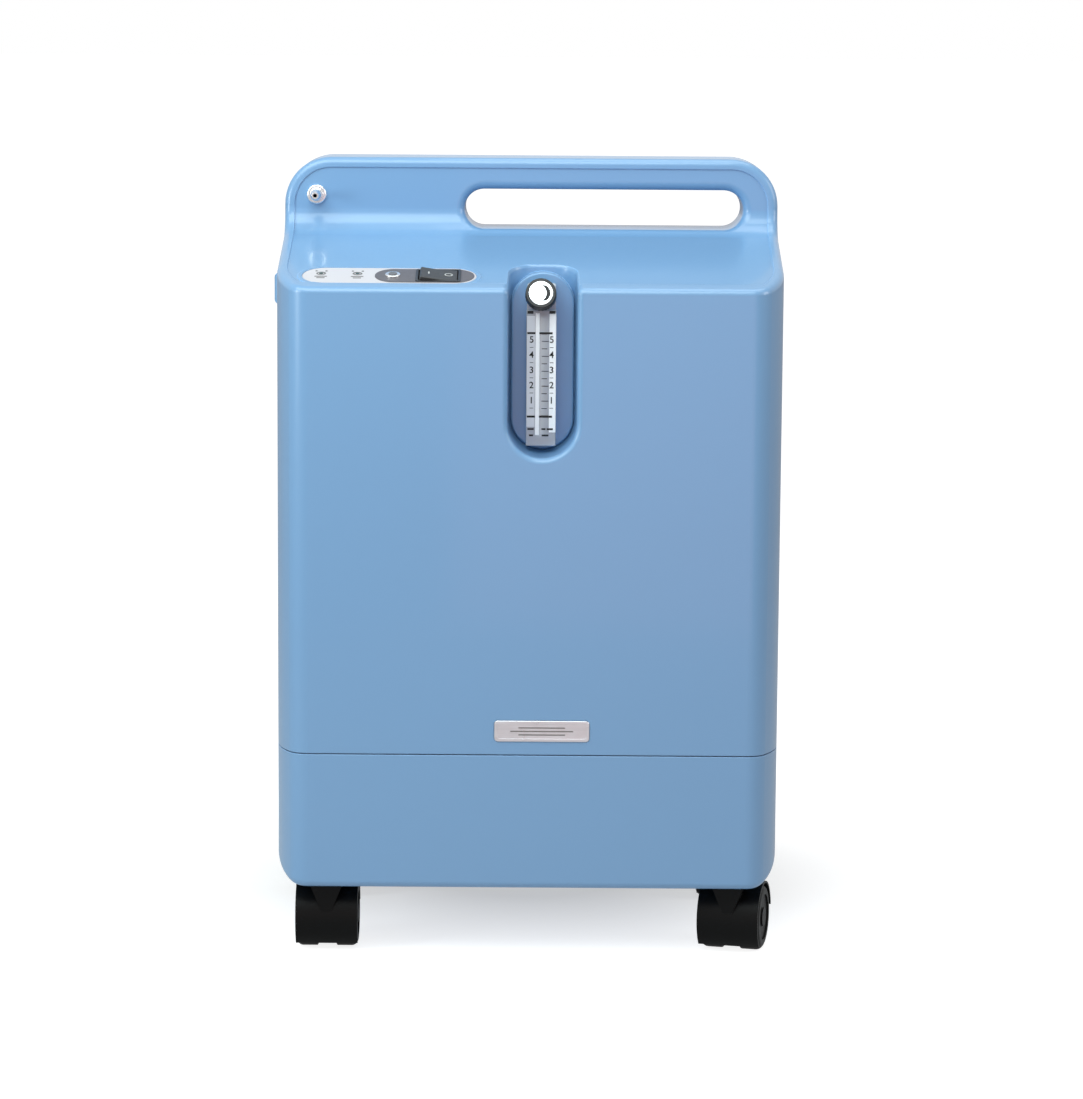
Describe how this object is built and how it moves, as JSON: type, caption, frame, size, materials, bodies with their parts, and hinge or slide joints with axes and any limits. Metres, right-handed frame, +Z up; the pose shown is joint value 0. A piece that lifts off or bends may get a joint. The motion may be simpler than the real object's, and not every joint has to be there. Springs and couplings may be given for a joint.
{
  "type": "oxygen concentrator",
  "caption": "Floor-standing home oxygen concentrator: blue moulded cabinet on swivel casters with a carry handle, flow meter, control panel and oxygen outlet.",
  "frame": {"origin": "centre of the footprint on the floor", "axes": "+X to the right seen from the front, +Y from front to back, +Z up; the front faces -Y"},
  "size_m": [0.375, 0.2428, 0.582],
  "materials": {
    "cabinet_blue": "glossy moulded",
    "badge_silver": "satin",
    "panel_white": "satin",
    "overlay_grey": "satin print",
    "lens_green": "translucent",
    "board_green": "solder mask",
    "switch_black": "semi-gloss",
    "button_grey": "semi-gloss",
    "breaker_nickel": "nickel-plated collar",
    "clear_acrylic": "clear",
    "print_black": "printed",
    "steel": "plated",
    "knob_black": "satin",
    "cap_silver": "polished",
    "brass": "turned",
    "chrome": "polished",
    "caster_black": "moulded nylon",
    "wheel_black": "moulded nylon",
    "foam": "open-cell foam",
    "zinc_plate": "zinc plated",
    "motor_steel": "laminated",
    "cast_aluminium": "as cast",
    "fan_grey": "moulded",
    "canister_alloy": "drawn",
    "tank_white": "moulded",
    "copper": "drawn tube",
    "hose": "silicone"
  },
  "bodies": {
    "cabinet": {"bacteria_filter": "tank_white", "badge": "badge_silver", "base_tub": "cabinet_blue", "breaker": "breaker_nickel", "caster_stems": "steel", "chassis": "zinc_plate", "compressor_case": "cast_aluminium", "control_bezel": "panel_white", "control_overlay": "overlay_grey", "cover_screws": "steel", "cylinder_heads": "cast_aluminium", "flow_scale": "print_black", "flowmeter_body": "clear_acrylic", "foam_filter": "foam", "front_cover": "cabinet_blue", "heat_exchanger": "copper", "hour_meter": "switch_black", "indicator_board": "board_green", "indicator_lenses": "lens_green", "motor_stator": "motor_steel", "mount_springs": "steel", "mufflers": "fan_grey", "outlet_nozzle": "chrome", "outlet_nut": "brass", "power_board": "board_green", "power_inlet": "switch_black", "pressure_regulator": "brass", "product_tank": "tank_white", "rear_cover": "cabinet_blue", "run_capacitor": "canister_alloy", "sieve_beds": "canister_alloy", "switch_housing": "switch_black", "tubing": "hose", "valve_manifold": "cast_aluminium"},
    "rocker": {"switch_rocker": "switch_black"},
    "reset_button": {"reset_button": "button_grey"},
    "knob": {"flow_knob": "knob_black", "knob_cap": "cap_silver", "needle_valve": "brass"},
    "float": {"float_ball": "steel"},
    "rotor": {"rotor_shaft": "motor_steel", "cooling_fan": "fan_grey"},
    "filter_door": {"filter_door": "cabinet_blue"},
    "caster_fl": {"caster_fl_hood": "caster_black", "caster_fl_axle": "steel"},
    "caster_fl_wheel_l": {"caster_fl_wheel_l": "wheel_black"},
    "caster_fl_wheel_r": {"caster_fl_wheel_r": "wheel_black"},
    "caster_fr": {"caster_fr_hood": "caster_black", "caster_fr_axle": "steel"},
    "caster_fr_wheel_l": {"caster_fr_wheel_l": "wheel_black"},
    "caster_fr_wheel_r": {"caster_fr_wheel_r": "wheel_black"},
    "caster_rl": {"caster_rl_hood": "caster_black", "caster_rl_axle": "steel"},
    "caster_rl_wheel_l": {"caster_rl_wheel_l": "wheel_black"},
    "caster_rl_wheel_r": {"caster_rl_wheel_r": "wheel_black"},
    "caster_rr": {"caster_rr_hood": "caster_black", "caster_rr_axle": "steel"},
    "caster_rr_wheel_l": {"caster_rr_wheel_l": "wheel_black"},
    "caster_rr_wheel_r": {"caster_rr_wheel_r": "wheel_black"}
  },
  "joints": [
    {"name": "power_switch", "type": "hinge", "parent": "cabinet", "child": "rocker", "pos_m": [-0.0668, -0.09182, 0.49755], "axis": [0, 0.9659, 0.2588], "range_deg": [-12, 0]},
    {"name": "breaker_reset", "type": "slide", "parent": "cabinet", "child": "reset_button", "axis": [0, 0.2588, -0.9659], "range_m": [0, 0.0015], "stiffness_N_per_m": 300, "springref_m": -0.002},
    {"name": "flow_adjust", "type": "hinge", "parent": "cabinet", "child": "knob", "pos_m": [0.0077, -0.0914, 0.4862], "axis": [0, -0.9511, 0.309], "range_deg": [-90, 270]},
    {"name": "float_rise", "type": "slide", "parent": "cabinet", "child": "float", "axis": [0, 0, 1], "range_m": [0, 0.082]},
    {"name": "compressor_spin", "type": "hinge", "parent": "cabinet", "child": "rotor", "pos_m": [0, -0.015, 0.148], "axis": [1, 0, 0], "continuous": true},
    {"name": "filter_door_hinge", "type": "hinge", "parent": "cabinet", "child": "filter_door", "pos_m": [-0.094, 0.1184, 0.45], "axis": [1, 0, 0], "range_deg": [0, 80]},
    {"name": "caster_fl_swivel", "type": "hinge", "parent": "cabinet", "child": "caster_fl", "pos_m": [-0.148, -0.092, 0.04], "axis": [0, 0, 1], "continuous": true},
    {"name": "caster_fl_roll_l", "type": "hinge", "parent": "caster_fl", "child": "caster_fl_wheel_l", "pos_m": [-0.148, -0.078, 0.0245], "axis": [-1, 0, 0], "continuous": true},
    {"name": "caster_fl_roll_r", "type": "hinge", "parent": "caster_fl", "child": "caster_fl_wheel_r", "pos_m": [-0.148, -0.078, 0.0245], "axis": [-1, 0, 0], "continuous": true},
    {"name": "caster_fr_swivel", "type": "hinge", "parent": "cabinet", "child": "caster_fr", "pos_m": [0.1515, -0.092, 0.04], "axis": [0, 0, 1], "continuous": true},
    {"name": "caster_fr_roll_l", "type": "hinge", "parent": "caster_fr", "child": "caster_fr_wheel_l", "pos_m": [0.15489, -0.07842, 0.0245], "axis": [-0.9703, 0.2419, 0], "continuous": true},
    {"name": "caster_fr_roll_r", "type": "hinge", "parent": "caster_fr", "child": "caster_fr_wheel_r", "pos_m": [0.15489, -0.07842, 0.0245], "axis": [-0.9703, 0.2419, 0], "continuous": true},
    {"name": "caster_rl_swivel", "type": "hinge", "parent": "cabinet", "child": "caster_rl", "pos_m": [-0.156, 0.078, 0.04], "axis": [0, 0, 1], "continuous": true},
    {"name": "caster_rl_roll_l", "type": "hinge", "parent": "caster_rl", "child": "caster_rl_wheel_l", "pos_m": [-0.156, 0.092, 0.0245], "axis": [-1, 0, 0], "continuous": true},
    {"name": "caster_rl_roll_r", "type": "hinge", "parent": "caster_rl", "child": "caster_rl_wheel_r", "pos_m": [-0.156, 0.092, 0.0245], "axis": [-1, 0, 0], "continuous": true},
    {"name": "caster_rr_swivel", "type": "hinge", "parent": "cabinet", "child": "caster_rr", "pos_m": [0.156, 0.078, 0.04], "axis": [0, 0, 1], "continuous": true},
    {"name": "caster_rr_roll_l", "type": "hinge", "parent": "caster_rr", "child": "caster_rr_wheel_l", "pos_m": [0.156, 0.092, 0.0245], "axis": [-1, 0, 0], "continuous": true},
    {"name": "caster_rr_roll_r", "type": "hinge", "parent": "caster_rr", "child": "caster_rr_wheel_r", "pos_m": [0.156, 0.092, 0.0245], "axis": [-1, 0, 0], "continuous": true}
  ]
}
